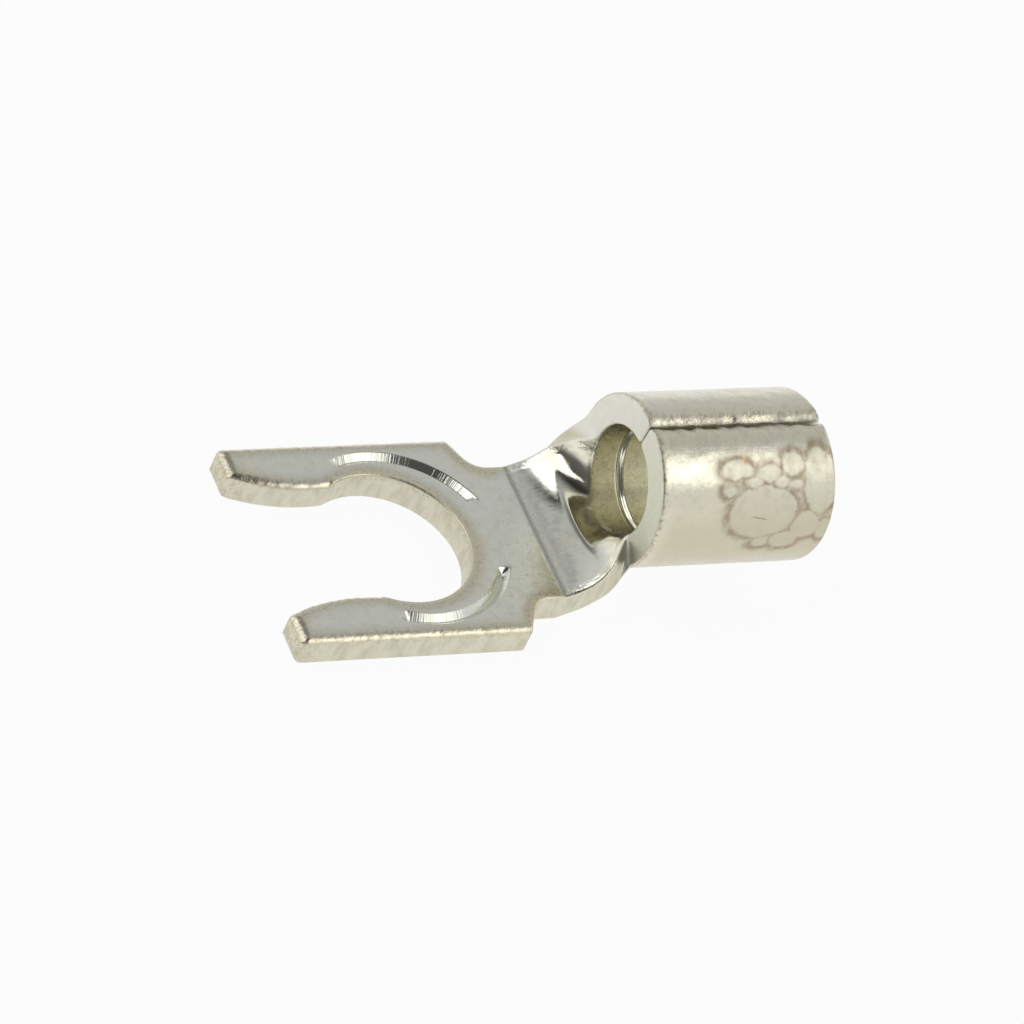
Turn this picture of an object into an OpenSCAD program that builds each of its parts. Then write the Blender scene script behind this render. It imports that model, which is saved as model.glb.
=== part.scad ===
// Snap-in fork terminal, stamped and rolled from one strip of sheet copper and tin plated.
// Origin: centre of the stud seat, on the underside of the tongue.
// +X runs from the fork to the wire barrel, +Z is up, all sizes in mm.

/* [Sheet] */
// thickness of the sheet, the same in tongue, neck and barrel
stock_thickness = 1.05; // [0.8:0.05:1.2]
// height lost where the punch rolled the edges of the tongue over
edge_roll_height = 0.15; // [0.08:0.01:0.2]
// width of that rolled edge
edge_roll_width = 0.32; // [0.2:0.02:0.36]

/* [Fork] */
// diameter of the round seat for the stud
stud_seat_diameter = 5.3; // [4.9:0.1:5.7]
// width of metal from the seat to the outer edge
rim_width = 1.4; // [1.2:0.05:1.7]
// how far each tine bulges in past the seat to hold the stud
lock_bite = 0.39; // [0.2:0.01:0.5]
// distance from the seat's centre to the narrowest place between the tines
throat_distance = 2; // [1.8:0.1:2.4]
// radius of the bulging inner edge of a tine
tine_bulge_radius = 6.2; // [5:0.1:8]
// distance from the seat's centre to the tips
tine_length = 4.82; // [4.2:0.02:5.5]
// plan radius of the outer corner of a tip
tip_outer_radius = 0.4; // [0.2:0.05:0.6]
// plan radius of the inner corner of a tip
tip_inner_radius = 0.3; // [0.15:0.05:0.35]
// radius that rounds the upper end of a tip
tip_nose_radius = 0.22; // [0.14:0.02:0.5]

/* [Stamped arcs] */
// width of the two grooves pressed round the seat
arc_width = 0.46; // [0.3:0.02:0.54]
// flat left between a groove and the rolled outer edge
arc_margin = 0.11; // [0.04:0.01:0.15]
// depth of the grooves
arc_depth = 0.2; // [0.1:0.01:0.3]
// distance from the seat's centre to the grooves' own centre, towards the barrel
arc_shift = 0.36; // [0:0.02:0.5]
// angle from +X at which a groove begins
arc_start_angle = 24; // [15:1:35]
// angle from +X at which a groove ends
arc_end_angle = 112; // [90:1:116]

/* [Neck] */
// distance from the seat's edge to the shoulder corner
shoulder_distance = 0.78; // [0.6:0.02:1]
// lean of the shoulder from square
shoulder_slant = 26; // [15:1:32]
// radius of the inner corner between shoulder and neck
neck_corner_radius = 0.8; // [0.5:0.05:0.9]
// width of the flat part of the neck
neck_width = 5.6; // [5.2:0.1:6]
// distance from the shoulder corner to the bend
bend_distance = 1.67; // [1.5:0.05:2]
// length over which the sheet curls from flat to round
roll_length = 2.17; // [1.8:0.05:2.6]
// share of that length over which the sheet climbs to the barrel
climb_share = 0.55; // [0.4:0.05:0.7]
// how sharply the curl gathers towards the barrel
curl_power = 3.5; // [2.5:0.1:4]
// half of the angle of barrel that grows out of the neck
join_angle = 55; // [48:1:62]
// radius of the corner between the neck's edge and the barrel's front face, on the -Y side
near_lip_radius = 0.35; // [0.2:0.05:0.6]
// the same on the +Y side, where the blank is cut with a wide sweep
far_lip_radius = 1.6; // [0.4:0.1:1.8]

/* [Barrel] */
// diameter of the bore for the wire
wire_bore_diameter = 3.5; // [3.1:0.1:4.1]
// length of the barrel
barrel_length = 6.3; // [5:0.05:8]
// lean of the barrel's rear end from square, the +Y side being the shorter
rear_skew = 3; // [0:0.5:5]
// height of the barrel's bottom above the tongue's underside
barrel_lift = 0.54; // [0.3:0.02:0.7]
// turn of the seam from the top towards -Y
seam_turn = 3; // [0:1:6]
// gap between the two edges that meet along the top
seam_gap = 0.08; // [0.05:0.01:0.15]
// radius of those edges on the outside
seam_outer_radius = 0.4; // [0.25:0.05:0.45]
// radius of those edges inside the bore
seam_inner_radius = 0.25; // [0.15:0.05:0.3]
// distance from the barrel's front face to the grip groove in the bore
grip_distance = 1.05; // [0.8:0.05:2]
// radius of the section of the grip groove
grip_radius = 0.11; // [0.08:0.01:0.15]

/* [Hidden] */
$fn = 96;
// overhang of a cutting shape past the face it cuts
past = 1;
// share of a rounded corner's radius that lies inside the metal, so that corner and face meet at a slight angle
edge_share = 0.9;
seat_radius = stud_seat_diameter / 2;
tongue_half = seat_radius + rim_width;
throat_half = seat_radius - lock_bite;
// centre of the big circle that bounds the inner edge of a tine
bulge_y = throat_half + tine_bulge_radius;
// distance between the centres of seat and bulge, and of the chord where the circles cross
bulge_offset = norm([throat_distance, bulge_y]);
lock_chord = (pow(seat_radius, 2) - pow(tine_bulge_radius, 2) + pow(bulge_offset, 2)) / (2 * bulge_offset);
// angle at the bulge's centre from the narrowest place to the corner where the tine meets the seat
lock_angle = atan2(throat_distance, bulge_y) - acos((bulge_offset - lock_chord) / tine_bulge_radius);
// centre of the small circle that rounds the inner corner of a tip
tip_inner_x = tip_inner_radius - tine_length;
tip_inner_offset = tine_bulge_radius - edge_share * tip_inner_radius;
tip_inner_y = bulge_y - sqrt(pow(tip_inner_offset, 2) - pow(tip_inner_x + throat_distance, 2));
// mid-line of the stamped arcs
arc_radius = tongue_half - edge_roll_width - arc_margin - arc_width / 2;
edge_roll_radius = (pow(edge_roll_width, 2) + pow(edge_roll_height, 2)) / (2 * edge_roll_height);
neck_half = neck_width / 2;
shoulder_x = seat_radius + shoulder_distance;
// sharp corner between shoulder and neck, before its radius
neck_corner_x = shoulder_x + (tongue_half - neck_half) * tan(shoulder_slant);
neck_corner_tangent = neck_corner_radius * tan((90 - shoulder_slant) / 2);
bend_x = shoulder_x + bend_distance;
barrel_front = bend_x + roll_length;
bore_radius = wire_bore_diameter / 2;
barrel_radius = bore_radius + stock_thickness;
barrel_z = barrel_lift + barrel_radius;
// angle by which the rolled edge of a tine runs on past its corner with the seat
roll_run_out = 1.5;
// the curled neck reaches this far into the tongue and into the barrel's wall
join_depth = 0.3;
// and stays this far inside the faces of that wall
join_inset = 0.01;
// half of the neck's developed width where it meets the barrel
join_half = (bore_radius + stock_thickness / 2) * join_angle * PI / 180;
// power with which the developed width narrows towards the barrel
narrow_power = 5;
// power that gathers the neck's stations towards the barrel
station_power = 1.5;
// least share of the full curl, which keeps the flat section out of a division by zero
almost_flat = 1e-9;
roll_steps = 16;
cross_steps = 16;
last_station = roll_steps + 2;

// corner of a square with a quarter circle left out, the corner at the origin
module corner_waste(radius) {
    difference() {
        translate([-past, -past])
            square(radius + past);
        translate([radius, radius])
            circle(radius);
    }
}

// the part of a tip's inner corner that its radius takes away
module tip_inner_waste() {
    reach = tine_bulge_radius / tip_inner_offset;
    touch_x = -throat_distance + (tip_inner_x + throat_distance) * reach;
    touch_y = bulge_y + (tip_inner_y - bulge_y) * reach;
    difference() {
        polygon([
            [tip_inner_x, tip_inner_y],
            [-tine_length - past, tip_inner_y],
            [-tine_length - past, touch_y - past],
            [touch_x, touch_y - past],
            [touch_x, touch_y]
        ]);
        translate([tip_inner_x, tip_inner_y])
            circle(tip_inner_radius);
    }
}

// the space between the tines, up to the seat
module slot_shape() {
    circle(seat_radius);
    difference() {
        translate([-tine_length - past, -tongue_half])
            square([tine_length + past, 2 * tongue_half]);
        for (side = [-1, 1])
            translate([-throat_distance, side * bulge_y])
                circle(tine_bulge_radius);
    }
}

// the metal that fills the inner corner between shoulder and neck
module neck_corner_shape() {
    centre_x = neck_corner_x + neck_corner_tangent;
    centre_y = neck_half + neck_corner_radius;
    difference() {
        polygon([
            [neck_corner_x - neck_corner_tangent, 0],
            [centre_x, 0],
            [centre_x, centre_y],
            [neck_corner_x - neck_corner_tangent * sin(shoulder_slant),
             neck_half + neck_corner_tangent * cos(shoulder_slant)]
        ]);
        translate([centre_x, centre_y])
            circle(neck_corner_radius);
    }
}

// plan of the tongue and the flat part of the neck
module tongue_shape() {
    difference() {
        union() {
            polygon([
                [-tine_length, -tongue_half],
                [shoulder_x, -tongue_half],
                [neck_corner_x, -neck_half],
                [bend_x, -neck_half],
                [bend_x, neck_half],
                [neck_corner_x, neck_half],
                [shoulder_x, tongue_half],
                [-tine_length, tongue_half]
            ]);
            for (side = [0, 1])
                mirror([0, side])
                    neck_corner_shape();
        }
        slot_shape();
        for (side = [0, 1])
            mirror([0, side]) {
                translate([-tine_length, -tongue_half])
                    corner_waste(tip_outer_radius);
                tip_inner_waste();
            }
    }
}

// section taken off a rolled edge, the edge at the origin and the metal at its left and below
module edge_roll_waste() {
    difference() {
        translate([-edge_roll_width, -2 * edge_roll_height])
            square([edge_roll_width + past, 2 * edge_roll_height + past]);
        translate([-edge_roll_width, -edge_roll_radius])
            circle(edge_roll_radius);
    }
}

// everything taken off one side's upper edges: the long outer edge and the tine's inner edge
module edge_roll_cut() {
    first_angle = -90 - asin((tine_length - throat_distance) / tine_bulge_radius);
    last_angle = -90 + lock_angle + roll_run_out;
    translate([-tine_length - past, tongue_half, stock_thickness])
        rotate([90, 0, 90])
            linear_extrude(tine_length + shoulder_x + 2 * past)
                edge_roll_waste();
    translate([-throat_distance, bulge_y, 0])
        rotate([0, 0, first_angle])
            rotate_extrude(angle = last_angle - first_angle)
                translate([tine_bulge_radius, stock_thickness])
                    edge_roll_waste();
}

// one groove round the seat, with a V section that runs on as far above the face as it goes below
module stamped_arc_cut() {
    translate([arc_shift, 0, stock_thickness])
        rotate([0, 0, arc_start_angle])
            rotate_extrude(angle = arc_end_angle - arc_start_angle)
                translate([arc_radius, 0])
                    polygon([
                        [0, -arc_depth],
                        [arc_width, arc_depth],
                        [-arc_width, arc_depth]
                    ]);
}

// upper end of both tips, rounded over
module tip_nose_cut() {
    translate([-tine_length, 0, stock_thickness])
        rotate([90, 0, 0])
            linear_extrude(2 * (tongue_half + past), center = true)
                mirror([0, 1])
                    corner_waste(tip_nose_radius);
}

module tongue() {
    difference() {
        linear_extrude(stock_thickness)
            tongue_shape();
        tip_nose_cut();
        for (side = [0, 1])
            mirror([0, side, 0]) {
                edge_roll_cut();
                stamped_arc_cut();
            }
    }
}

// Curled neck: its stations run from inside the tongue over the bend to inside the barrel's wall.
// Share runs from 0 at the bend to 1 at the barrel's front face, with stations closer together there.
function roll_share(station) = 1 - pow(1 - max(0, min((station - 1) / roll_steps, 1)), station_power);
function roll_x(station) =
    station == 0 ? bend_x - join_depth
    : station == last_station ? barrel_front + join_depth
    : bend_x + roll_length * roll_share(station);
function inset(share) = join_inset * share;
// height of the sheet's underside on the mid-line
function climb(share) = barrel_lift * min(share / climb_share, 1) + inset(share);
function neck_thickness(share) = stock_thickness - 2 * inset(share);
// curvature of the sheet's upper face across the neck
function curl(share) = max(pow(share, curl_power), almost_flat) / (bore_radius + inset(share));
// extra half width near the barrel, from the corner radius at a lip
function lip_corner(gap, radius) =
    gap < radius ? radius - sqrt(pow(radius, 2) - pow(radius - gap, 2)) : 0;
function developed_half(share, lip_radius) =
    neck_half - (neck_half - join_half) * pow(share, narrow_power)
    + lip_corner(roll_length * (1 - share), lip_radius);
// angle the sheet's edge has turned, its middle layer keeping its length
function edge_turn(share, lip_radius) =
    developed_half(share, lip_radius) * curl(share) / (1 + curl(share) * stock_thickness / 2) * 180 / PI;
// a point of the section: turn from the mid-line, depth below the upper face
function neck_point(station, turn, depth) =
    let (share = roll_share(station), rise = 2 * pow(sin(turn / 2), 2) / curl(share))
    [
        roll_x(station),
        sin(turn) / curl(share) + depth * sin(turn),
        climb(share) + neck_thickness(share) + rise - depth * cos(turn)
    ];
// one section: the upper face from left to right, then the lower face back again
function neck_ring(station) =
    let (
        share = roll_share(station),
        first = -edge_turn(share, near_lip_radius),
        pace = (edge_turn(share, far_lip_radius) - first) / cross_steps
    )
    concat(
        [for (cross = [0:cross_steps]) neck_point(station, first + pace * cross, 0)],
        [for (cross = [cross_steps:-1:0]) neck_point(station, first + pace * cross, neck_thickness(share))]
    );
function two_triangles(a, b, c, d) = [[a, b, c], [a, c, d]];

module curled_neck() {
    ring_size = 2 * (cross_steps + 1);
    end_ring = last_station * ring_size;
    skin = [
        for (station = [0:last_station - 1], place = [0:ring_size - 1])
            let (next = (place + 1) % ring_size, here = station * ring_size, there = here + ring_size)
            each two_triangles(here + place, here + next, there + next, there + place)
    ];
    caps = [
        for (cross = [0:cross_steps - 1])
            let (low = ring_size - 1 - cross)
            each concat(
                two_triangles(cross, low, low - 1, cross + 1),
                two_triangles(end_ring + cross, end_ring + cross + 1, end_ring + low - 1, end_ring + low)
            )
    ];
    polyhedron(
        points = [for (station = [0:last_station]) each neck_ring(station)],
        faces = concat(skin, caps)
    );
}

// section taken off between the two rounded edges on the outside of the seam
module seam_outer_waste() {
    edge_y = seam_gap / 2 + seam_outer_radius;
    edge_z = sqrt(pow(barrel_radius, 2) - pow(edge_y, 2)) - edge_share * seam_outer_radius;
    difference() {
        translate([-edge_y, edge_z])
            square([2 * edge_y, seam_outer_radius + past]);
        for (side = [-1, 1])
            translate([side * edge_y, edge_z])
                circle(seam_outer_radius);
    }
}

// the same inside the bore
module seam_inner_waste() {
    edge_y = seam_gap / 2 + seam_inner_radius;
    edge_z = sqrt(pow(bore_radius, 2) - pow(edge_y, 2)) + edge_share * seam_inner_radius;
    difference() {
        translate([-edge_y, 0])
            square([2 * edge_y, edge_z]);
        for (side = [-1, 1])
            translate([side * edge_y, edge_z])
                circle(seam_inner_radius);
    }
}

// section of the barrel, with its seam
module barrel_shape() {
    difference() {
        circle(barrel_radius);
        circle(bore_radius);
        rotate(seam_turn) {
            translate([-seam_gap / 2, 0])
                square([seam_gap, barrel_radius + past]);
            seam_outer_waste();
            seam_inner_waste();
        }
    }
}

// the length from the front face is measured on the axis, where the skewed rear end crosses it
module barrel() {
    rear_cut = 2 * (barrel_radius + past);
    translate([barrel_front, 0, barrel_z])
        rotate([90, 0, 90])
            difference() {
                linear_extrude(barrel_length + past)
                    barrel_shape();
                translate([0, 0, barrel_length])
                    rotate([0, rear_skew, 0])
                        translate([-rear_cut / 2, -rear_cut / 2, 0])
                            cube([rear_cut, rear_cut, 2 * past]);
                translate([0, 0, grip_distance])
                    rotate_extrude()
                        translate([bore_radius, 0])
                            circle(grip_radius);
            }
}

module fork_terminal() {
    color([0.72, 0.72, 0.69]) {
        tongue();
        curled_neck();
        barrel();
    }
}

fork_terminal();
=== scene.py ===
"""Looks of the fork terminal: one sheet of metal, built flat from its outline and then curled up."""

import math

import bpy
import numpy as np
from mathutils import Matrix, Vector, noise
from mathutils.geometry import delaunay_2d_cdt


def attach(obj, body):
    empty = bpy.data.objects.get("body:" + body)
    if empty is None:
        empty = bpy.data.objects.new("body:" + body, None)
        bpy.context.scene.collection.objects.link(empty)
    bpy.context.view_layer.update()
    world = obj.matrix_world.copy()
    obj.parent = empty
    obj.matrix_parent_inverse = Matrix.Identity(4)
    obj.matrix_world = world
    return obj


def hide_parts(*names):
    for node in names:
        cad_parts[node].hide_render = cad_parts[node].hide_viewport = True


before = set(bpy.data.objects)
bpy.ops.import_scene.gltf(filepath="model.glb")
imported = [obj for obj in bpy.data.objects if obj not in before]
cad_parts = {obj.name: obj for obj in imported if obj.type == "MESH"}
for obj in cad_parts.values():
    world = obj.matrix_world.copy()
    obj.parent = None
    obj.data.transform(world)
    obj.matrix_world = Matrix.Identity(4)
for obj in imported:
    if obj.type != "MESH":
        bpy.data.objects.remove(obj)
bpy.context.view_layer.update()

# Sizes in mm, the same as in the part's source
MM = 0.001
SHEET = 1.05
SEAT_RADIUS = 2.65
TONGUE_HALF = SEAT_RADIUS + 1.4
EDGE_ROLL_WIDTH = 0.32
EDGE_ROLL_HEIGHT = 0.15
LOCK_BITE = 0.39
THROAT_X = -2.0
BULGE_RADIUS = 6.2
BULGE_Y = SEAT_RADIUS - LOCK_BITE + BULGE_RADIUS
TIP_X = -4.82
TIP_OUTER_RADIUS = 0.4
TIP_INNER_RADIUS = 0.3
SHOULDER_X = SEAT_RADIUS + 0.78
SHOULDER_SLANT = math.radians(26)
NECK_CORNER_RADIUS = 0.8
NECK_HALF = 2.8
BEND_X = SHOULDER_X + 1.67
ROLL_LENGTH = 2.17
CLIMB_LENGTH = 0.55 * ROLL_LENGTH
CURL_POWER = 3.5
NARROW_POWER = 5
JOIN_ANGLE = math.radians(55)
NEAR_LIP_RADIUS = 0.35
FAR_LIP_RADIUS = 1.6
BORE_RADIUS = 1.75
MIDDLE_RADIUS = BORE_RADIUS + SHEET / 2
BARREL_RADIUS = BORE_RADIUS + SHEET
BARREL_LIFT = 0.54
FRONT_X = BEND_X + ROLL_LENGTH
BARREL_LENGTH = 6.3
REAR_X = FRONT_X + BARREL_LENGTH
REAR_SKEW = math.radians(3)
SEAM_TURN = math.radians(3)
SEAM_GAP = 0.08
GRIP_X = FRONT_X + 1.05
GRIP_RADIUS = 0.11
ARC_WIDTH = 0.46
ARC_DEPTH = 0.2
ARC_SHIFT = 0.36
ARC_RADIUS = TONGUE_HALF - EDGE_ROLL_WIDTH - 0.11 - ARC_WIDTH / 2
ARC_START = math.radians(24)
ARC_END = math.radians(112)
# length over which a stamped arc runs out at its ends
ARC_RUN_OUT = 0.25
# turn of its ends away from square
ARC_END_SLANT = math.radians(15)

# Fineness of the mesh, in mm
OUTLINE_STEP = 0.07
LATTICE_STEP = 0.09
RING_INSETS = (0.035, 0.08, 0.14, 0.21, 0.29)
LATTICE_MARGIN = 0.34
GRIP_STEP = 1.5 * OUTLINE_STEP
CURL_POINTS = 24
# share of its inset that a point of a ring keeps from every edge
RING_KEEP = 0.93
WALL_SHARES = (0.04, 0.14, 0.34, 0.66, 0.86, 0.96)
# half the length over which a crease turns
CREASE_HALF = 0.1
# how far the look of a cut wall shows at its rim
RIM_CUT = 0.6
# rows of points across a stamped arc and the grip groove, close together where the surface turns
ARC_ROWS = (0, 0.02, 0.115, 0.205, 0.23, 0.255, 0.3)
GRIP_ROWS = (0, 0.05, 0.09, 0.12, 0.18)
# the even lattice keeps this far from their mid-lines and ends
ARC_CLEAR = 0.34
GRIP_CLEAR = 0.22
# points handled at a time, a length too small to matter, and the filling that keeps to the outline
BLOCK = 2000
TINY = 1e-6
INSIDE_ONLY = 1

# Unevenness left by the press, a broad one and a fine one: height and waves per mm
PRESS = ((0.006, 0.7), (0.0025, 2.6))
# how much more of it the rolled barrel shows
BARREL_PRESS = 2.4
# unevenness of rounded edges: share of their height and waves per mm
EDGE_WAVES = {"tine": (0.22, 4.5), "outer": (0.22, 4.5), "seam": (0.5, 2.8)}
NO_WAVES = (0, 1)
# seeds of the unevenness on the upper face, the lower face and the edges
UPPER_SEED = 1.0
LOWER_SEED = 2.0
EDGE_SEED = 5.0

# How each kind of edge is rounded: width and height on the upper face, then on the lower face
EDGES = {
    "seat": (0.06, 0.06, 0.04, 0.04),
    "tine": (EDGE_ROLL_WIDTH, EDGE_ROLL_HEIGHT, 0.08, 0.08),
    "nose": (0.5, 0.4, 0.45, 0.4),
    "outer": (EDGE_ROLL_WIDTH, EDGE_ROLL_HEIGHT, 0.06, 0.06),
    "neck": (0.08, 0.08, 0.07, 0.07),
    "lip": (0.07, 0.07, 0.07, 0.06),
    "seam": (0.25, 0.25, 0.42, 0.26),
    "rear": (0.1, 0.1, 0.12, 0.1),
}


# Outline of the flat blank, one side, x along the part and w across it

def line(start, end):
    start = np.array(start, float)
    end = np.array(end, float)
    count = max(1, math.ceil(np.linalg.norm(end - start) / OUTLINE_STEP))
    share = np.linspace(0, 1, count + 1)[:-1, None]
    return start + (end - start) * share


def arc(centre, radius, start, end):
    count = max(3, math.ceil(abs(end - start) * radius / OUTLINE_STEP))
    angle = np.linspace(start, end, count + 1)[:-1, None]
    return np.array(centre) + radius * np.hstack([np.cos(angle), np.sin(angle)])


def fork_pieces():
    """The seat, the bulging inner edge of the tine and its tip, ending at the start of the outer edge."""
    offset = math.hypot(THROAT_X, BULGE_Y)
    chord = (SEAT_RADIUS**2 - BULGE_RADIUS**2 + offset**2) / (2 * offset)
    seat_end = math.atan2(BULGE_Y, THROAT_X) + math.acos(chord / SEAT_RADIUS)
    corner = SEAT_RADIUS * np.array([math.cos(seat_end), math.sin(seat_end)])
    bulge = np.array([THROAT_X, BULGE_Y])
    tine_start = math.atan2(*(corner - bulge)[::-1])
    inner_x = TIP_X + TIP_INNER_RADIUS
    inner_y = BULGE_Y - math.sqrt((BULGE_RADIUS - TIP_INNER_RADIUS)**2 - (inner_x - THROAT_X)**2)
    tine_end = math.atan2(inner_y - BULGE_Y, inner_x - THROAT_X)
    outer_centre = np.array([TIP_X + TIP_OUTER_RADIUS, TONGUE_HALF - TIP_OUTER_RADIUS])
    return [
        ("seat", arc((0, 0), SEAT_RADIUS, 0, seat_end)),
        ("tine", arc(bulge, BULGE_RADIUS, tine_start, tine_end)),
        ("tine", arc((inner_x, inner_y), TIP_INNER_RADIUS, tine_end, -math.pi)),
        ("nose", line((TIP_X, inner_y), (TIP_X, outer_centre[1]))),
        ("outer", arc(outer_centre, TIP_OUTER_RADIUS, math.pi, math.pi / 2)),
    ]


def neck_pieces():
    """The outer edge, the shoulder and the straight edge of the neck."""
    corner_x = SHOULDER_X + (TONGUE_HALF - NECK_HALF) * math.tan(SHOULDER_SLANT)
    tangent = NECK_CORNER_RADIUS * math.tan((math.pi / 2 - SHOULDER_SLANT) / 2)
    fillet_start = (
        corner_x - tangent * math.sin(SHOULDER_SLANT),
        NECK_HALF + tangent * math.cos(SHOULDER_SLANT),
    )
    fillet_centre = (corner_x + tangent, NECK_HALF + NECK_CORNER_RADIUS)
    return [
        ("outer", line((TIP_X + TIP_OUTER_RADIUS, TONGUE_HALF), (SHOULDER_X, TONGUE_HALF))),
        ("neck", line((SHOULDER_X, TONGUE_HALF), fillet_start)),
        ("neck", arc(fillet_centre, NECK_CORNER_RADIUS, math.pi + SHOULDER_SLANT, 1.5 * math.pi)),
        ("neck", line((corner_x + tangent, NECK_HALF), (BEND_X, NECK_HALF))),
    ]


def neck_half(share):
    join_half = MIDDLE_RADIUS * JOIN_ANGLE
    return NECK_HALF - (NECK_HALF - join_half) * share**NARROW_POWER


def wing_pieces(lip_radius, seam_half):
    """The curling edge of the neck, its corner with the barrel, the lip and the edge along the seam."""
    straight = np.linspace(BEND_X, FRONT_X - lip_radius, CURL_POINTS)[:-1]
    curling = np.column_stack([straight, neck_half((straight - BEND_X) / ROLL_LENGTH)])
    turn = np.linspace(0, math.pi / 2, max(6, math.ceil(lip_radius / OUTLINE_STEP)))[:-1]
    corner_x = FRONT_X - lip_radius * (1 - np.sin(turn))
    corner = np.column_stack([
        corner_x,
        neck_half((corner_x - BEND_X) / ROLL_LENGTH) + lip_radius * (1 - np.cos(turn)),
    ])
    lip_start = neck_half(1) + lip_radius
    return [
        ("neck", curling),
        ("neck", corner),
        ("lip", line((FRONT_X, lip_start), (FRONT_X, seam_half))),
        ("seam", line((FRONT_X, seam_half), (REAR_X, seam_half))),
    ]


def side_outline(lip_radius, seam_half):
    pieces = fork_pieces() + neck_pieces() + wing_pieces(lip_radius, seam_half)
    points = np.vstack([piece for _, piece in pieces] + [[[REAR_X, seam_half]]])
    kinds = [kind for kind, piece in pieces for _ in piece]
    return points, kinds


def blank_outline():
    """The closed outline, and the kind of the edge that starts at each of its points."""
    seam = MIDDLE_RADIUS * math.pi - SEAM_GAP / 2
    shift = MIDDLE_RADIUS * SEAM_TURN
    far, far_kinds = side_outline(FAR_LIP_RADIUS, seam + shift)
    near, near_kinds = side_outline(NEAR_LIP_RADIUS, seam - shift)
    near = near * (1, -1)
    rear = line(far[-1], near[-1])
    points = np.vstack([far[:-1], rear, near[:0:-1]])
    kinds = far_kinds + ["rear"] * len(rear) + near_kinds[::-1]
    return points, np.array(kinds)


# Distances and points inside the outline

def distance_to(points, starts, ends):
    """Distance of each point to the nearest of the given edges."""
    along = ends - starts
    length = np.maximum((along**2).sum(1), TINY**2)
    best = np.empty(len(points))
    for first in range(0, len(points), BLOCK):
        block = points[first:first + BLOCK, None, :] - starts
        share = np.clip((block * along).sum(2) / length, 0, 1)
        best[first:first + BLOCK] = np.sqrt(((block - share[..., None] * along)**2).sum(2)).min(1)
    return best


def inside(points, starts, ends):
    """Even-odd test against the outline."""
    found = np.empty(len(points), bool)
    for first in range(0, len(points), BLOCK):
        x = points[first:first + BLOCK, 0, None]
        y = points[first:first + BLOCK, 1, None]
        spans = (starts[:, 1] > y) != (ends[:, 1] > y)
        rise = np.where(ends[:, 1] == starts[:, 1], 1, ends[:, 1] - starts[:, 1])
        cross = starts[:, 0] + (y - starts[:, 1]) / rise * (ends[:, 0] - starts[:, 0])
        found[first:first + BLOCK] = (spans & (x < cross)).sum(1) % 2 == 1
    return found


def edge_rings(points, starts, ends):
    """Rows of points that follow the outline a little way in, so that rounded edges are smooth."""
    along = np.roll(points, -1, 0) - np.roll(points, 1, 0)
    inward = np.column_stack([-along[:, 1], along[:, 0]]) / np.linalg.norm(along, axis=1)[:, None]
    area = (starts[:, 0] * ends[:, 1] - ends[:, 0] * starts[:, 1]).sum()
    inward *= math.copysign(1, area)
    rows = []
    for inset in RING_INSETS:
        row = points + inset * inward
        keep = (distance_to(row, starts, ends) > RING_KEEP * inset) & inside(row, starts, ends)
        rows.append(row[keep])
    return rows


def arc_places(points):
    """Angle round the centre of the stamped arcs, and distance from their mid-line."""
    angle = np.abs(np.arctan2(points[:, 1], points[:, 0] - ARC_SHIFT))
    return angle, np.hypot(points[:, 0] - ARC_SHIFT, points[:, 1]) - ARC_RADIUS


def both_ways(rows):
    return sorted({side * row for row in rows for side in (-1, 1)})


def groove_rows():
    """Points along the two stamped arcs and the grip groove."""
    rows = []
    pad = ARC_CLEAR / 2 / ARC_RADIUS
    angle = np.arange(ARC_START - pad, ARC_END + pad, OUTLINE_STEP / ARC_RADIUS)
    for offset in both_ways(ARC_ROWS):
        radius = ARC_RADIUS + offset
        for side in (-1, 1):
            rows.append(np.column_stack([ARC_SHIFT + radius * np.cos(angle), side * radius * np.sin(angle)]))
    reach = MIDDLE_RADIUS * math.pi - 2 * LATTICE_MARGIN
    across = np.arange(-reach, reach, GRIP_STEP)
    for offset in both_ways(GRIP_ROWS):
        rows.append(np.column_stack([np.full_like(across, GRIP_X + offset), across]))
    return rows


def in_groove_zone(points):
    angle, off = arc_places(points)
    pad = ARC_CLEAR / ARC_RADIUS
    in_arc = (np.abs(off) < ARC_CLEAR) & (angle > ARC_START - pad) & (angle < ARC_END + pad)
    return in_arc | (np.abs(points[:, 0] - GRIP_X) < GRIP_CLEAR)


def lattice(starts, ends):
    low = starts.min(0)
    high = starts.max(0)
    row_step = LATTICE_STEP * math.sqrt(0.75)
    rows = np.arange(low[1], high[1], row_step)
    columns = np.arange(low[0], high[0], LATTICE_STEP)
    x = columns[None, :] + (np.arange(len(rows)) % 2)[:, None] * LATTICE_STEP / 2
    points = np.column_stack([x.ravel(), np.repeat(rows, len(columns))])
    points = points[~in_groove_zone(points)]
    points = points[inside(points, starts, ends)]
    return points[distance_to(points, starts, ends) > LATTICE_MARGIN]


# The flat sheet

def edge_drop(width, height, gap):
    """How far a rounded edge has fallen at a distance from the outline."""
    radius = (width**2 + height**2) / (2 * height)
    return radius - np.sqrt(radius**2 - np.clip(width - gap, 0, width)**2)


def wave(points, scale, seed):
    """Smooth unevenness between -1 and 1, always the same for the same seed."""
    return np.array([noise.noise(Vector((x * scale, w * scale, seed))) for x, w in points])


def press_marks(points, seed):
    """How far the press has left a face under its full size."""
    marks = sum(height * (1 + wave(points, waves, seed)) / 2 for height, waves in PRESS)
    return marks * np.where(points[:, 0] > FRONT_X, BARREL_PRESS, 1)


def stamped_share(points):
    """Share of its full depth that a stamped arc has: a V across it, running out at both ends."""
    angle, off = arc_places(points)
    end_gap = np.minimum(angle - ARC_START, ARC_END - angle) * ARC_RADIUS
    slanted_gap = end_gap * math.cos(ARC_END_SLANT) + off * math.sin(ARC_END_SLANT)
    return np.clip(np.minimum(1 - np.abs(off) / (ARC_WIDTH / 2), slanted_gap / ARC_RUN_OUT), 0, 1)


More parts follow.
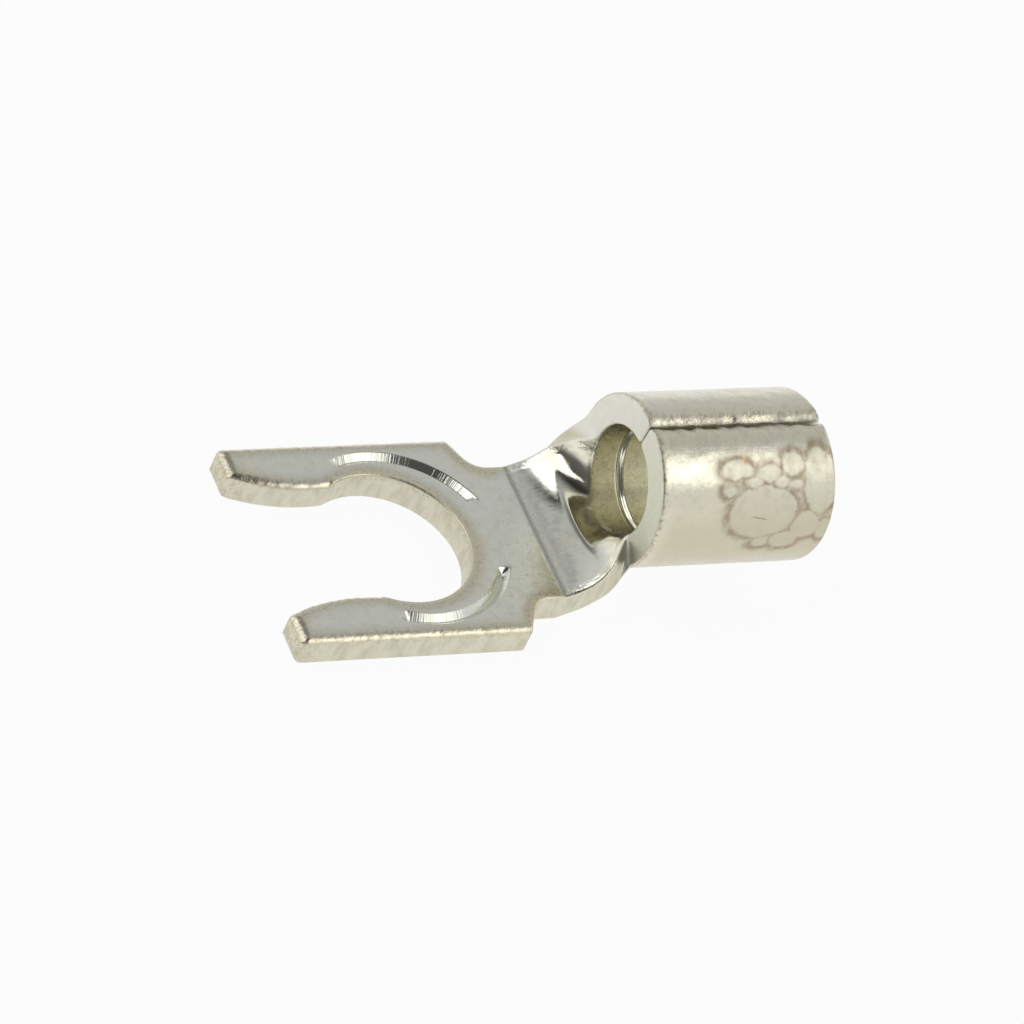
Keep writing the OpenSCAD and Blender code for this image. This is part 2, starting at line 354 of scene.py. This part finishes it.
def grip_depth(points):
    return np.sqrt(np.maximum(GRIP_RADIUS**2 - (points[:, 0] - GRIP_X)**2, 0))


def face_depths(points, outline, kinds):
    """Depth of the upper and of the lower face below the plane of the tongue's top."""
    ends = np.roll(outline, -1, 0)
    upper = np.zeros(len(points))
    lower = np.zeros(len(points))
    for kind, (upper_width, upper_height, lower_width, lower_height) in EDGES.items():
        if kind == "nose":
            gap = points[:, 0] - TIP_X
        else:
            gap = distance_to(points, outline[kinds == kind], ends[kinds == kind])
        share, waves = EDGE_WAVES.get(kind, NO_WAVES)
        uneven = 1 + share * wave(points, waves, EDGE_SEED)
        upper = np.maximum(upper, edge_drop(upper_width, upper_height, gap) * uneven)
        lower = np.maximum(lower, edge_drop(lower_width, lower_height, gap) * uneven)
    upper += ARC_DEPTH * stamped_share(points) + grip_depth(points) + press_marks(points, UPPER_SEED)
    return upper, SHEET - lower - press_marks(points, LOWER_SEED)


# Curling the sheet up

def climb(x):
    """Height of the sheet's underside on the mid-line, with the creases eased."""
    def area_under(place):
        run = np.clip(place - BEND_X, 0, CLIMB_LENGTH)
        return BARREL_LIFT * (run**2 / (2 * CLIMB_LENGTH) + np.maximum(place - BEND_X - CLIMB_LENGTH, 0))
    return (area_under(x + CREASE_HALF) - area_under(x - CREASE_HALF)) / (2 * CREASE_HALF)


def curl_up(x, w, depth):
    """Places a point of the flat sheet in the part: the curl gathers towards the barrel and then stays."""
    share = np.clip((x - BEND_X) / ROLL_LENGTH, 0, 1)
    curl = np.maximum(share**CURL_POWER, TINY) / BORE_RADIUS
    turn = w * curl / (1 + curl * SHEET / 2)
    y = np.sin(turn) / curl + depth * np.sin(turn)
    z = climb(x) + SHEET + 2 * np.sin(turn / 2)**2 / curl - depth * np.cos(turn)
    along = np.clip((x - FRONT_X) / BARREL_LENGTH, 0, 1)
    return np.column_stack([x - math.tan(REAR_SKEW) * y * along**3, y, z])


def fill_outline(outline):
    """Points and triangles of the flat sheet, and which of the points are the outline's own."""
    count = len(outline)
    ends = np.roll(outline, -1, 0)
    rows = [outline] + edge_rings(outline, outline, ends) + groove_rows() + [lattice(outline, ends)]
    flat = [Vector(point) for point in np.vstack(rows)]
    border = [(i, (i + 1) % count) for i in range(count)]
    placed, _, faces, sources, _, _ = delaunay_2d_cdt(flat, border, [], INSIDE_ONLY, TINY)
    points = np.array([tuple(point) for point in placed])
    place_of = {source: place for place, found in enumerate(sources) for source in found}
    ring = np.array([place_of[i] for i in range(count)])
    return points, faces, ring


def sheet_polygons(faces, ring, size):
    """Both faces of the sheet, and the walls between them in rows round the outline."""
    count = len(ring)
    wall_rows = [2 * size + row * count + np.arange(count) for row in range(len(WALL_SHARES))]
    wall_rows = [ring] + wall_rows + [ring + size]
    polygons = [tuple(face) for face in faces]
    polygons += [tuple(corner + size for corner in reversed(face)) for face in faces]
    for top, bottom in zip(wall_rows, wall_rows[1:]):
        for here in range(count):
            there = (here + 1) % count
            polygons.append((top[here], top[there], bottom[there], bottom[here]))
    return [tuple(map(int, polygon)) for polygon in polygons]


def store(mesh, name, values):
    """Keeps a number or a vector for each point, for the material to read."""
    if values.ndim == 1:
        mesh.attributes.new(name, "FLOAT", "POINT").data.foreach_set("value", values)
    else:
        mesh.attributes.new(name, "FLOAT_VECTOR", "POINT").data.foreach_set("vector", values.ravel())


def make_sheet():
    outline, kinds = blank_outline()
    points, faces, ring = fill_outline(outline)
    size = len(points)
    upper, lower = face_depths(points, outline, kinds)
    wall_depths = [upper[ring] + (lower[ring] - upper[ring]) * share for share in WALL_SHARES]
    places = np.vstack([points, points] + [points[ring]] * len(WALL_SHARES))
    depth = np.concatenate([upper, lower] + wall_depths)
    x = places[:, 0]
    w = places[:, 1]

    cut = np.zeros(len(x))
    cut[2 * size:] = 1
    cut[ring] = RIM_CUT
    cut[ring + size] = RIM_CUT
    edge_gap = np.zeros(len(x))
    edge_gap[:2 * size] = np.tile(distance_to(points, outline, np.roll(outline, -1, 0)), 2)
    angle, _ = arc_places(points)
    stamp = np.zeros((len(x), 3))
    stamp[:size, 0] = angle * ARC_RADIUS * np.sign(points[:, 1])
    stamp[:size, 1] = stamped_share(points)

    mesh = bpy.data.meshes.new("terminal_sheet")
    mesh.from_pydata((curl_up(x, w, depth) * MM).tolist(), [], sheet_polygons(faces, ring, size))
    mesh.polygons.foreach_set("use_smooth", [True] * len(mesh.polygons))
    store(mesh, "cut", cut)
    store(mesh, "edge_gap", edge_gap)
    store(mesh, "stamp", stamp)
    store(mesh, "sheet", np.column_stack([x, w, depth]))
    mesh.update()
    piece = bpy.data.objects.new("terminal_sheet", mesh)
    bpy.context.scene.collection.objects.link(piece)
    return piece


terminal = make_sheet()

# Material: dull tin plate, warmer where the sheet was cut, tarnished in the bore, with a dried stain

TIN_COOL = (0.755, 0.77, 0.70, 1)
TIN_WARM = (0.76, 0.73, 0.59, 1)
TIN_DULL = (0.58, 0.57, 0.48, 1)
CUT_WARM = (0.70, 0.675, 0.535, 1)
CUT_DULL = (0.53, 0.50, 0.38, 1)
LIP_GREY = (0.80, 0.795, 0.71, 1)
TARNISH = (0.85, 0.83, 0.71, 1)
EDGE_BROWN = (0.37, 0.30, 0.20, 1)
SCRATCH_DARK = (0.50, 0.50, 0.45, 1)
STAIN = (0.40, 0.32, 0.23, 1)
# painted shade: darker tint for the barrel's lower flank
FLANK_SHADE = (0.61, 0.57, 0.43, 1)
TIN_EDGE = (0.80, 0.73, 0.53, 1)
# partly painted shade: darker brown for a band along the tongue's edges
EDGE_TONE_AND_SHADE = (0.50, 0.46, 0.33, 1)
BORE_OLIVE = (0.77, 0.74, 0.59, 1)
SPOT = (0.52, 0.38, 0.20, 1)
# partly painted shade: dark colour for patches on the seam's rounded edge
SEAM_DULL_AND_SHADE = (0.42, 0.40, 0.33, 1)
# pale colour at the bore's rim: partly a painted highlight
BORE_PALE_RIM_AND_HIGHLIGHT = (0.93, 0.90, 0.74, 1)

# Shares of each mark in the colour
DULL_ON_TONGUE = 0.32
DULL_ON_BARREL = 0.55
SCRATCHES_SHARE = 0.35
EDGE_TONE_AND_SHADE_SHARE = 0.42
ROLLED_EDGE_SHARE = 0.65
STREAK_SHARE = 0.65
ROLL_LINE_SHARE = 0.45
TIP_SHARE = 0.5
LIP_LINE_SHARE = 0.8
SEAM_LINE_AND_SHADE_SHARES = (0.4, 0.1)
SEAM_DULL_AND_SHADE_SHARE = 0.5
BLOTCH_SHARES = (0.35, 0.95)
SPOT_SHARE = 0.9
SHORT_SCRATCH_SHARE = 0.8

# Spans in mm over which a look comes in or goes out: along the part
TIP_END = (TIP_X, TIP_X + 1.2)
TONGUE_END = (BEND_X - 0.5, BEND_X + 0.3)
TROUGH_START = (BEND_X + 0.1, BEND_X + 0.6)
TROUGH_END = (FRONT_X - 0.37, FRONT_X + 0.13)
WARMING = (BEND_X + 0.4, FRONT_X + 1.23)
BORE_START = (FRONT_X - 0.37, FRONT_X + 0.33)
LIP_START = (FRONT_X - 0.27, FRONT_X - 0.07)
LIP_LINE_START = (FRONT_X - 0.07, FRONT_X + 0.03)
LIP_LINE_END = (FRONT_X + 0.09, FRONT_X + 0.23)
FLANK_SHADE_START = (FRONT_X - 0.27, FRONT_X + 0.73)
BARREL_START = (FRONT_X + 0.03, FRONT_X + 0.93)
# across the sheet from its mid-line, down from its upper face, and away from the grip groove's middle
FLANK_SHADE_END = (3.9, 5.3)
SEAM_START = (6.55, 6.95)
MID_SHEET = (0.4, 0.6)
WALL_TOP = (0.16, 0.3)
GRIP_END = (0.1, 0.14)
# in from the outline
WARM_EDGE = (0.2, 0.7)
TONE_AND_SHADE_EDGE = (0.15, 0.7)
ROLLED_EDGE = (0.06, 0.2)
ROLL_LINE = (0.2, 0.5)
SEAM_LINE_AND_SHADE = (0.05, 0.3)
DULL_AND_SHADED_SEAM = (0.1, 0.32)
DULL_RIM = (0.03, 0.1)
ROUGH_EDGE = (0.25, 0.4)
# share of its depth at which a stamped arc looks stamped
STAMP_START = (0.02, 0.1)

# Roughness of the plate, and what each place adds to it
SATIN = (0.2, 0.3)
ROUGHER_CUT = 0.14
ROUGHER_STAIN = 0.18
ROUGHER_LIP = 0.15
ROUGHER_RIM = 0.12
ROUGHER_SEAM = 0.14
BURNISHED = -0.16

# Height of each relief against that of the mottle, what burnishing leaves of it, and the scale of all in mm
GRAIN_RELIEF = 0.25
ROLLING_RELIEF = 0.5
STRIATION_RELIEF = 2.6
EDGE_RELIEF = 2.4
SEAM_RELIEF = 4.0
BARREL_RELIEF = 2.2
BURNISHED_RELIEF = 0.25
RELIEF_STRENGTH = 0.5
RELIEF_HEIGHT = 0.012

# Cells of the stain on the barrel, in mm: place along the part, arc from the bottom, half length, half width
STAIN_CELLS = (
    (11.02, -5.52, 1.21, 0.90),
    (9.98, -6.95, 0.52, 0.31),
    (10.61, -6.53, 0.31, 0.18),
    (11.14, -6.83, 0.42, 0.27),
    (11.62, -6.54, 0.26, 0.17),
    (9.71, -6.29, 0.23, 0.17),
    (12.67, -5.02, 0.50, 0.49),
    (13.37, -4.84, 0.27, 0.38),
    (12.10, -4.45, 0.47, 0.39),
    (11.26, -4.37, 0.32, 0.24),
    (13.02, -6.53, 0.57, 1.08),
    (12.04, -7.12, 0.37, 0.37),
    (12.10, -6.45, 0.23, 0.15),
)
STAIN_RIM = 0.07
STAIN_FADE = 0.34
STAIN_REACH = 0.6
# how far the stain's lines wander, and in how many waves per mm
STAIN_WARP = 0.32
STAIN_WAVES = 2.2
# a brown spot and a short scratch in the stain: their places, then radius, or half sizes and turn
SPOT_PLACE = (10.30, -7.28, 0)
SPOT_RADIUS = 0.3
SCRATCH_PLACE = (10.93, -5.35, 0)
SCRATCH_HALF = (0.36, 0.03)
SCRATCH_TURN = math.radians(11)


class Tree:
    """Short calls for building nodes in a material or a world."""

    def __init__(self, owner):
        owner.use_nodes = True
        self.nodes = owner.node_tree.nodes
        self.links = owner.node_tree.links
        self.nodes.clear()

    def fill(self, socket, value):
        if isinstance(value, bpy.types.NodeSocket):
            self.links.new(value, socket)
        else:
            socket.default_value = value

    def add(self, kind, inputs=None, **settings):
        made = self.nodes.new("ShaderNode" + kind)
        for key, value in settings.items():
            setattr(made, key, value)
        for key, value in (inputs or {}).items():
            self.fill(made.inputs[key], value)
        return made

    def attribute(self, name, output="Fac"):
        return self.add("Attribute", attribute_name=name).outputs[output]

    def math(self, operation, first, second=0.0):
        return self.add("Math", {0: first, 1: second}, operation=operation).outputs[0]

    def product(self, *factors):
        total = factors[0]
        for factor in factors[1:]:
            total = self.math("MULTIPLY", total, factor)
        return total

    def total(self, *terms):
        total = terms[0]
        for term in terms[1:]:
            total = self.math("ADD", total, term)
        return total

    def ramp(self, value, low, high, to_low=0.0, to_high=1.0):
        limits = {"Value": value, "From Min": low, "From Max": high, "To Min": to_low, "To Max": to_high}
        return self.add("MapRange", limits, interpolation_type="SMOOTHSTEP").outputs["Result"]

    def vector(self, operation, first, second, output="Vector"):
        return self.add("VectorMath", {0: first, 1: second}, operation=operation).outputs[output]

    def mix(self, share, first, second):
        made = self.add("Mix", {"Factor": share}, data_type="RGBA")
        colours = [socket for socket in made.inputs if socket.type == "RGBA"]
        self.fill(colours[0], first)
        self.fill(colours[1], second)
        return next(socket for socket in made.outputs if socket.type == "RGBA")

    def noise(self, place, scale, detail=4.0, roughness=0.55, output="Fac"):
        inputs = {"Vector": place, "Scale": scale, "Detail": detail, "Roughness": roughness}
        return self.add("TexNoise", inputs).outputs[output]

    def turned(self, place, angle):
        inputs = {"Vector": place, "Angle": angle}
        return self.add("VectorRotate", inputs, rotation_type="Z_AXIS").outputs[0]

    def stretched_noise(self, place, scales):
        """Noise drawn out into streaks, with its own waves per mm along x, y and z."""
        return self.noise(self.vector("MULTIPLY", place, scales), 1.0, 4.0, 0.6)


def stain_masks(tree, place):
    """Brown lines between the pale cells where a liquid dried, fading outwards, and the whole dulled area."""
    waves = tree.noise(place, STAIN_WAVES, 3.0, output="Color")
    warp = tree.vector("SUBTRACT", waves, (0.5, 0.5, 0.5))
    bent = tree.vector("ADD", place, tree.vector("MULTIPLY", warp, (STAIN_WARP, STAIN_WARP, 0)))
    gap = None
    for x, arc_place, half_length, half_width in STAIN_CELLS:
        mean = math.sqrt(half_length * half_width)
        off = tree.vector("SUBTRACT", bent, (x, arc_place, 0))
        scaled = tree.vector("MULTIPLY", off, (mean / half_length, mean / half_width, 0))
        reach = tree.add("VectorMath", {0: scaled}, operation="LENGTH").outputs["Value"]
        beyond = tree.math("SUBTRACT", reach, mean)
        gap = beyond if gap is None else tree.math("MINIMUM", gap, beyond)
    lines = tree.product(tree.ramp(gap, -STAIN_RIM, STAIN_RIM), tree.ramp(gap, STAIN_RIM, STAIN_FADE, 1, 0))
    return lines, tree.ramp(gap, 0, STAIN_REACH, 1, 0)


def short_scratch(tree, place):
    off = tree.vector("SUBTRACT", place, SCRATCH_PLACE)
    parts = tree.add("SeparateXYZ", {0: tree.turned(off, -SCRATCH_TURN)})
    marks = []
    for output, half in zip(parts.outputs[:2], SCRATCH_HALF):
        marks.append(tree.ramp(tree.math("ABSOLUTE", output), half / 2, half, 1, 0))
    return tree.product(*marks)


class Surface:
    """Where a point lies on the sheet, and the textures that several looks share, in waves per mm."""

    def __init__(self, tree):
        self.sheet = tree.attribute("sheet", "Vector")
        parts = tree.add("SeparateXYZ", {0: self.sheet})
        self.along = parts.outputs[0]
        self.across = tree.math("ABSOLUTE", parts.outputs[1])
        self.depth = parts.outputs[2]
        self.outside = tree.vector("MULTIPLY", self.sheet, (1, BARREL_RADIUS / MIDDLE_RADIUS, 0))
        self.edge_gap = tree.attribute("edge_gap")
        self.cut = tree.attribute("cut")
        stamp = tree.add("SeparateXYZ", {0: tree.attribute("stamp", "Vector")})
        self.stamp_run = stamp.outputs[0]
        self.stamped = tree.ramp(stamp.outputs[1], *STAMP_START)

        self.clouds = tree.noise(self.sheet, 0.55)
        self.mottle = tree.noise(self.sheet, 3.2, 6.0, 0.65)
        self.patches = tree.ramp(tree.noise(self.sheet, 1.5, 3.0, 0.6), 0.42, 0.56)

        self.face = tree.math("SUBTRACT", 1.0, self.cut)
        self.upper_side = tree.product(self.face, tree.ramp(self.depth, *MID_SHEET, 1, 0))
        self.lower_side = tree.product(self.face, tree.ramp(self.depth, *MID_SHEET))
        self.on_tongue = tree.ramp(self.along, *TONGUE_END, 1, 0)
        clouded = tree.math("ADD", self.along, self.clouds)
        self.in_bore = tree.product(self.upper_side, tree.ramp(clouded, *BORE_START))
        self.at_seam = tree.product(self.lower_side, tree.ramp(self.across, *SEAM_START))
        # patches on the seam's rounded edge: rougher, and darkened as painted shade in the seam's crevice
        self.dull_and_shaded_seam = tree.product(self.at_seam, self.patches, tree.ramp(self.edge_gap, *DULL_AND_SHADED_SEAM, 1, 0))
        past_lip = tree.ramp(self.along, *LIP_LINE_START)
        self.at_lip = tree.product(self.lower_side, past_lip, tree.ramp(self.along, *LIP_LINE_END, 1, 0))
        self.burnished = self.burnished_places(tree)

    def burnished_places(self, tree):
        """The trough in front of the bore, the grip groove and the stamped arcs."""
        past_bend = tree.ramp(self.along, *TROUGH_START)
        trough = tree.product(self.upper_side, past_bend, tree.ramp(self.along, *TROUGH_END, 1, 0))
        grip_gap = tree.math("ABSOLUTE", tree.math("SUBTRACT", self.along, GRIP_X))
        grip = tree.product(self.in_bore, tree.ramp(grip_gap, *GRIP_END, 1, 0))
        return tree.math("MAXIMUM", tree.math("MAXIMUM", trough, grip), self.stamped)


def plate_colour(tree, at):
    """Cool in the middle of the tongue, warm along its edges and on the barrel, tarnished in the bore, with
    painted shade on the barrel's lower flank.
    """
    warmth = tree.total(
        tree.ramp(at.along, *WARMING, 0.05, 0.8),
        tree.ramp(at.clouds, 0.35, 0.7, -0.25, 0.4),
        tree.ramp(at.edge_gap, *WARM_EDGE, 0.4, 0),
    )
    colour = tree.mix(tree.ramp(warmth, 0, 1), TIN_COOL, TIN_WARM)
    dull_share = tree.ramp(at.on_tongue, 0, 1, DULL_ON_BARREL, DULL_ON_TONGUE)
    colour = tree.mix(tree.product(tree.ramp(at.mottle, 0.46, 0.74), dull_share), colour, TIN_DULL)
    one_way = tree.stretched_noise(tree.turned(at.sheet, math.radians(38)), (0.9, 26.0, 1.0))
    other_way = tree.stretched_noise(tree.turned(at.sheet, math.radians(-64)), (1.1, 22.0, 1.0))
    scratches = tree.ramp(tree.math("MAXIMUM", one_way, other_way), 0.68, 0.76, 0, SCRATCHES_SHARE)
    colour = tree.mix(tree.product(at.on_tongue, scratches), colour, SCRATCH_DARK)
    # painted shade: the barrel's lower flank is darkened as if it reflected the floor lying in its shadow
    flank_shade = tree.product(tree.ramp(at.along, *FLANK_SHADE_START), tree.ramp(at.across, *FLANK_SHADE_END, 1, 0))
    colour = tree.mix(tree.product(at.lower_side, flank_shade), colour, FLANK_SHADE)
    tongue_top = tree.product(at.on_tongue, at.upper_side)
    # darker brown band along the tongue's edges: partly discolouration, partly painted shade for the tilt of
    # the broad rolled edges
    edge_tone_and_shade = tree.ramp(at.edge_gap, *TONE_AND_SHADE_EDGE, EDGE_TONE_AND_SHADE_SHARE, 0)
    colour = tree.mix(tree.product(tongue_top, edge_tone_and_shade), colour, EDGE_TONE_AND_SHADE)
    rolled_edge = tree.ramp(at.edge_gap, *ROLLED_EDGE, ROLLED_EDGE_SHARE, 0)
    colour = tree.mix(tree.product(tongue_top, rolled_edge), colour, TIN_EDGE)
    bore = tree.mix(tree.ramp(at.mottle, 0.4, 0.65), TARNISH, BORE_OLIVE)
    return tree.mix(at.in_bore, colour, bore)


def wall_colour(tree, at):
    """Streaks from the punch, greyer on the barrel's lips."""
    sheared = tree.stretched_noise(at.sheet, (3.6, 3.6, 1.3))
    wall = tree.mix(tree.ramp(sheared, 0.38, 0.7, 0, STREAK_SHARE), CUT_WARM, CUT_DULL)
    return tree.mix(tree.ramp(at.along, *LIP_START), wall, LIP_GREY)


def add_brown_lines(tree, at, colour):
    """Brown lines beside the rolled edges of the tongue and the lips, a brown line and dull patches along the
    seam that are partly painted shade in its crevice, and the pale rim of the bore, partly a painted
    highlight.
    """
    past_roll = tree.ramp(at.edge_gap, *ROLLED_EDGE)
    beside_roll = tree.ramp(at.edge_gap, *ROLL_LINE, ROLL_LINE_SHARE, 0)
    above_roll = tree.product(at.upper_side, past_roll, beside_roll)
    wall_top = tree.product(at.cut, tree.ramp(at.depth, *WALL_TOP, ROLL_LINE_SHARE, 0))
    on_tongue = tree.product(at.on_tongue, tree.math("MAXIMUM", above_roll, wall_top))
    tongue_line = tree.math("MAXIMUM", on_tongue, tree.ramp(at.along, *TIP_END, TIP_SHARE, 0))
    lip_line = tree.product(at.at_lip, LIP_LINE_SHARE)
    # brown line along the seam, darkest at its crevice: partly painted shade
    seam_line_and_shade = tree.product(at.at_seam, tree.ramp(at.edge_gap, *SEAM_LINE_AND_SHADE, *SEAM_LINE_AND_SHADE_SHARES))
    brown = tree.math("MAXIMUM", tree.math("MAXIMUM", tongue_line, lip_line), seam_line_and_shade)
    dots = tree.ramp(tree.noise(at.sheet, 9.0, 3.0, 0.65), 0.46, 0.66)
    colour = tree.mix(tree.product(brown, dots), colour, EDGE_BROWN)
    colour = tree.mix(tree.product(at.dull_and_shaded_seam, SEAM_DULL_AND_SHADE_SHARE), colour, SEAM_DULL_AND_SHADE)
    # pale rim where the trough meets the bore: partly the tarnish's edge, partly a painted highlight
    rim_start = tree.ramp(at.in_bore, 0.02, 0.3)
    pale_rim_and_highlight = tree.product(rim_start, tree.ramp(at.in_bore, 0.3, 0.75, 1, 0), at.patches)
    return tree.mix(pale_rim_and_highlight, colour, BORE_PALE_RIM_AND_HIGHLIGHT)


def add_stain(tree, at, colour, lines):
    """The dried stain, with its brown spot and short scratch."""
    blotch = tree.ramp(at.mottle, 0.3, 0.62, *BLOTCH_SHARES)
    colour = tree.mix(tree.product(at.lower_side, lines, blotch), colour, STAIN)
    spot_reach = tree.vector("DISTANCE", at.outside, SPOT_PLACE, "Value")
    spot = tree.ramp(spot_reach, 0, SPOT_RADIUS, SPOT_SHARE, 0)
    colour = tree.mix(tree.product(at.lower_side, spot, blotch), colour, SPOT)
    scratch = tree.product(at.lower_side, short_scratch(tree, at.outside), SHORT_SCRATCH_SHARE)
    return tree.mix(scratch, colour, EDGE_BROWN)


def plate_roughness(tree, at, stained):
    return tree.total(
        tree.ramp(at.mottle, 0.3, 0.7, *SATIN),
        tree.product(at.cut, ROUGHER_CUT),
        tree.product(at.lower_side, stained, ROUGHER_STAIN),
        tree.product(at.at_lip, ROUGHER_LIP),
        tree.product(at.face, tree.ramp(at.edge_gap, *DULL_RIM, ROUGHER_RIM, 0)),
        tree.product(at.dull_and_shaded_seam, ROUGHER_SEAM),
        tree.product(at.burnished, BURNISHED),
    )


def plate_relief(tree, at):
    """Rolling marks and grain, striations in the stamped arcs, rough edges, seam and barrel."""
    grain = tree.noise(at.sheet, 38.0, 3.0, 0.6)
    rolled = tree.stretched_noise(at.sheet, (0.8, 14.0, 4.0))
    plain = tree.total(tree.product(grain, GRAIN_RELIEF), tree.product(rolled, ROLLING_RELIEF), at.mottle)
    run = tree.add("CombineXYZ", {0: at.stamp_run}).outputs[0]
    near_edge = tree.ramp(at.edge_gap, *ROUGH_EDGE, 1, 0)
    barrel = tree.product(at.lower_side, tree.ramp(at.along, *BARREL_START))
    height = tree.total(
        tree.product(plain, tree.ramp(at.burnished, 0, 1, 1, BURNISHED_RELIEF)),
        tree.product(at.stamped, tree.noise(run, 9.0, 3.0, 0.7), STRIATION_RELIEF),
        tree.product(near_edge, tree.noise(at.sheet, 7.0, 3.0), EDGE_RELIEF),
        tree.product(at.at_seam, tree.noise(at.sheet, 6.0, 4.0, 0.65), SEAM_RELIEF),
        tree.product(barrel, tree.noise(at.sheet, 3.5, 3.0), BARREL_RELIEF),
    )
    bump = {"Height": height, "Strength": RELIEF_STRENGTH, "Distance": RELIEF_HEIGHT * MM}
    return tree.add("Bump", bump).outputs[0]


def tin_plate():
    material = bpy.data.materials.new("tin_plate")
    tree = Tree(material)
    at = Surface(tree)
    lines, stained = stain_masks(tree, at.outside)
    colour = tree.mix(at.cut, plate_colour(tree, at), wall_colour(tree, at))
    colour = add_brown_lines(tree, at, colour)
    looks = {
        "Base Color": add_stain(tree, at, colour, lines),
        "Metallic": 1.0,
        "Roughness": plate_roughness(tree, at, stained),
        "Normal": plate_relief(tree, at),
    }
    shader = tree.add("BsdfPrincipled", looks)
    tree.add("OutputMaterial", {"Surface": shader.outputs[0]})
    return material


terminal.data.materials.append(tin_plate())
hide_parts("fork_terminal")
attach(terminal, "root")

# Floor: white, and it keeps the part's shadow

FLOOR_HALF = 0.6
FLOOR_GAP = 0.00001
FLOOR_WHITE = 0.94
PAPER = (0.92, 0.92, 0.92, 1)


def make_floor():
    mesh = bpy.data.meshes.new("floor")
    corners = [(-1, -1), (1, -1), (1, 1), (-1, 1)]
    mesh.from_pydata([(x * FLOOR_HALF, y * FLOOR_HALF, -FLOOR_GAP) for x, y in corners], [], [(0, 1, 2, 3)])
    floor = bpy.data.objects.new("floor", mesh)
    bpy.context.scene.collection.objects.link(floor)
    material = bpy.data.materials.new("floor_white")
    tree = Tree(material)
    rays = tree.add("LightPath")
    seen = tree.math("MAXIMUM", rays.outputs["Is Camera Ray"], rays.outputs["Is Glossy Ray"])
    seen = tree.math("MAXIMUM", seen, rays.outputs["Is Transmission Ray"])
    paper = tree.add("BsdfDiffuse", {"Color": PAPER})
    white = tree.add("Emission", {"Color": (1, 1, 1, 1), "Strength": 1.0})
    share = tree.product(seen, FLOOR_WHITE)
    both = tree.add("MixShader", {0: share, 1: paper.outputs[0], 2: white.outputs[0]})
    tree.add("OutputMaterial", {"Surface": both.outputs[0]})
    mesh.materials.append(material)


make_floor()

# Light: a soft room with softboxes on either hand, in degrees of azimuth from +X and of height

PART_MIDDLE = Vector((4.3, 0, 2)) * MM
SOFTBOX_DISTANCE = 0.35
# name, azimuth, height, width and tallness in metres, brightness and colour
SOFTBOXES = (
    ("right_hand", -42, 47, 0.22, 0.16, 1.2, (1.0, 0.98, 0.94)),
    ("left_hand", 155, 50, 0.25, 0.214, 1.3, (1.0, 1.0, 0.98)),
    ("left_high", 194, 54.5, 0.09, 0.045, 1.3, (1.0, 1.0, 0.98)),
)
# brightness of the room at the horizon and overhead
ROOM_LOW = 0.92
ROOM_HIGH = 0.53
# darker places in the room: azimuth, height, the angles at which one is gone and is full, and its level
SHADES = (
    (-145, 50, 54, 37, 0.15),
    (117, 57, 6, 2, 0.05),
    (82, 50, 16, 5, 0.35),
    (55, 8, 38, 12, 0.74),
    (0, 90, 28, 8, 0.4),
)


def direction(azimuth, height):
    azimuth = math.radians(azimuth)
    height = math.radians(height)
    level = math.cos(height)
    return Vector((level * math.cos(azimuth), level * math.sin(azimuth), math.sin(height)))


def softbox(name, azimuth, height, width, tall, brightness, colour):
    data = bpy.data.lights.new(name, "AREA")
    data.shape = "RECTANGLE"
    data.size = width
    data.size_y = tall
    data.energy = brightness * math.pi * width * tall
    data.color = colour
    lamp = bpy.data.objects.new(name, data)
    towards = direction(azimuth, height)
    lamp.location = PART_MIDDLE + towards * SOFTBOX_DISTANCE
    lamp.rotation_mode = "QUATERNION"
    lamp.rotation_quaternion = towards.to_track_quat("Z", "Y")
    bpy.context.scene.collection.objects.link(lamp)


for box in SOFTBOXES:
    softbox(*box)


def make_world():
    world = bpy.data.worlds.new("studio")
    bpy.context.scene.world = world
    tree = Tree(world)
    place = tree.add("TexCoord").outputs["Generated"]
    level = tree.ramp(tree.add("SeparateXYZ", {0: place}).outputs[2], 0, 1, ROOM_LOW, ROOM_HIGH)
    for azimuth, height, gone, full, darkest in SHADES:
        facing = tree.vector("DOT_PRODUCT", place, direction(azimuth, height), "Value")
        shade = tree.ramp(facing, math.cos(math.radians(gone)), math.cos(math.radians(full)), 1, darkest)
        level = tree.product(level, shade)
    back = tree.add("Background", {"Color": (1, 1, 1, 1), "Strength": level})
    tree.add("OutputWorld", {"Surface": back.outputs[0]})


make_world()

# Camera, fitted to the photograph: place in mm, its right, up and back directions, and focal length in pixels

EYE = Vector((-109.5445, -129.4369, 153.3791))
RIGHT = Vector((0.86805872, -0.35477308, 0.34728969))
UP = Vector((0.03814526, 0.74512365, 0.66583458))
BACK = Vector((-0.49499395, -0.56473605, 0.66034399))
FOCAL_PIXELS = 7263.13
FRAME_PIXELS = 1024
SENSOR = 36

lens = bpy.data.cameras.new("camera")
lens.sensor_fit = "HORIZONTAL"
lens.sensor_width = SENSOR
lens.lens = FOCAL_PIXELS * SENSOR / FRAME_PIXELS
lens.clip_start = 0.001
lens.clip_end = 10
camera = bpy.data.objects.new("camera", lens)
turn = Matrix((RIGHT, UP, BACK)).transposed()
camera.matrix_world = Matrix.Translation(EYE * MM) @ turn.to_4x4()
bpy.context.scene.collection.objects.link(camera)
bpy.context.scene.camera = camera
bpy.context.scene.view_settings.view_transform = "Standard"
